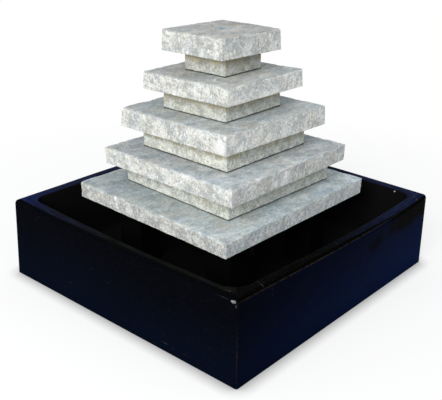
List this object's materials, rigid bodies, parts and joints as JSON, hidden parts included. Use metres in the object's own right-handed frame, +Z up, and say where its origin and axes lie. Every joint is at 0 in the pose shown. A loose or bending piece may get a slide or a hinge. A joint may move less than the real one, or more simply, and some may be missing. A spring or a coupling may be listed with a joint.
{
  "type": "stone garden fountain",
  "caption": "Stepped pyramid of split stone slabs on spacer stones in a square polished terrazzo basin, with a submersible pump and a riser pipe inside.",
  "frame": {"origin": "on the ground under the middle of the basin", "axes": "+Z up; the basin's sides lie along X and Y; the pump's intake faces -Y"},
  "size_m": [0.6, 0.6, 0.506],
  "materials": {
    "terrazzo": "polished near-black terrazzo with fine chips",
    "split_stone": "pale stone, split by hammer round the edge and sawn above and below",
    "spacer_stone": "pale greenish stone, lightly dressed, ochre under the overhang",
    "pvc": "satin pale blue-grey pipe plastic",
    "dark_plastic": "fine-grained moulded plastic",
    "grey_plastic": "satin moulded plastic",
    "rubber": "matt black rubber",
    "steel": "stainless band",
    "ceramic": "ground ceramic",
    "ferrite": "moulded ferrite magnet"
  },
  "bodies": {
    "fountain": {"basin": "terrazzo", "pillar_front_left": "terrazzo", "pillar_front_right": "terrazzo", "pillar_back_left": "terrazzo", "pillar_back_right": "terrazzo", "base_slab": "split_stone", "base_spacer": "spacer_stone", "fourth_slab": "split_stone", "third_spacer": "spacer_stone", "third_slab": "split_stone", "second_spacer": "spacer_stone", "second_slab": "split_stone", "top_spacer": "spacer_stone", "top_slab": "split_stone", "riser_pipe": "pvc", "outlet_nozzle": "pvc", "pipe_sleeve": "rubber", "hose_clamps": "steel", "pump_housing": "dark_plastic", "cable_gland": "rubber", "suction_cups": "rubber", "pump_head": "grey_plastic", "seal_ring": "rubber", "intake_cover": "dark_plastic", "rotor_shaft": "ceramic", "rear_bush": "rubber", "front_bush": "rubber"},
    "rotor": {"rotor_magnet": "ferrite", "impeller": "grey_plastic"},
    "regulator": {"flow_dial": "grey_plastic", "dial_knob": "grey_plastic"}
  },
  "joints": [
    {"name": "rotor_spin", "type": "hinge", "parent": "fountain", "child": "rotor", "pos_m": [0.0118, 0.0045, 0.059], "axis": [0, -1, 0], "continuous": true},
    {"name": "dial_turn", "type": "hinge", "parent": "fountain", "child": "regulator", "pos_m": [0.0118, 0.0045, 0.059], "axis": [0, -1, 0], "range_deg": [0, 60]}
  ]
}
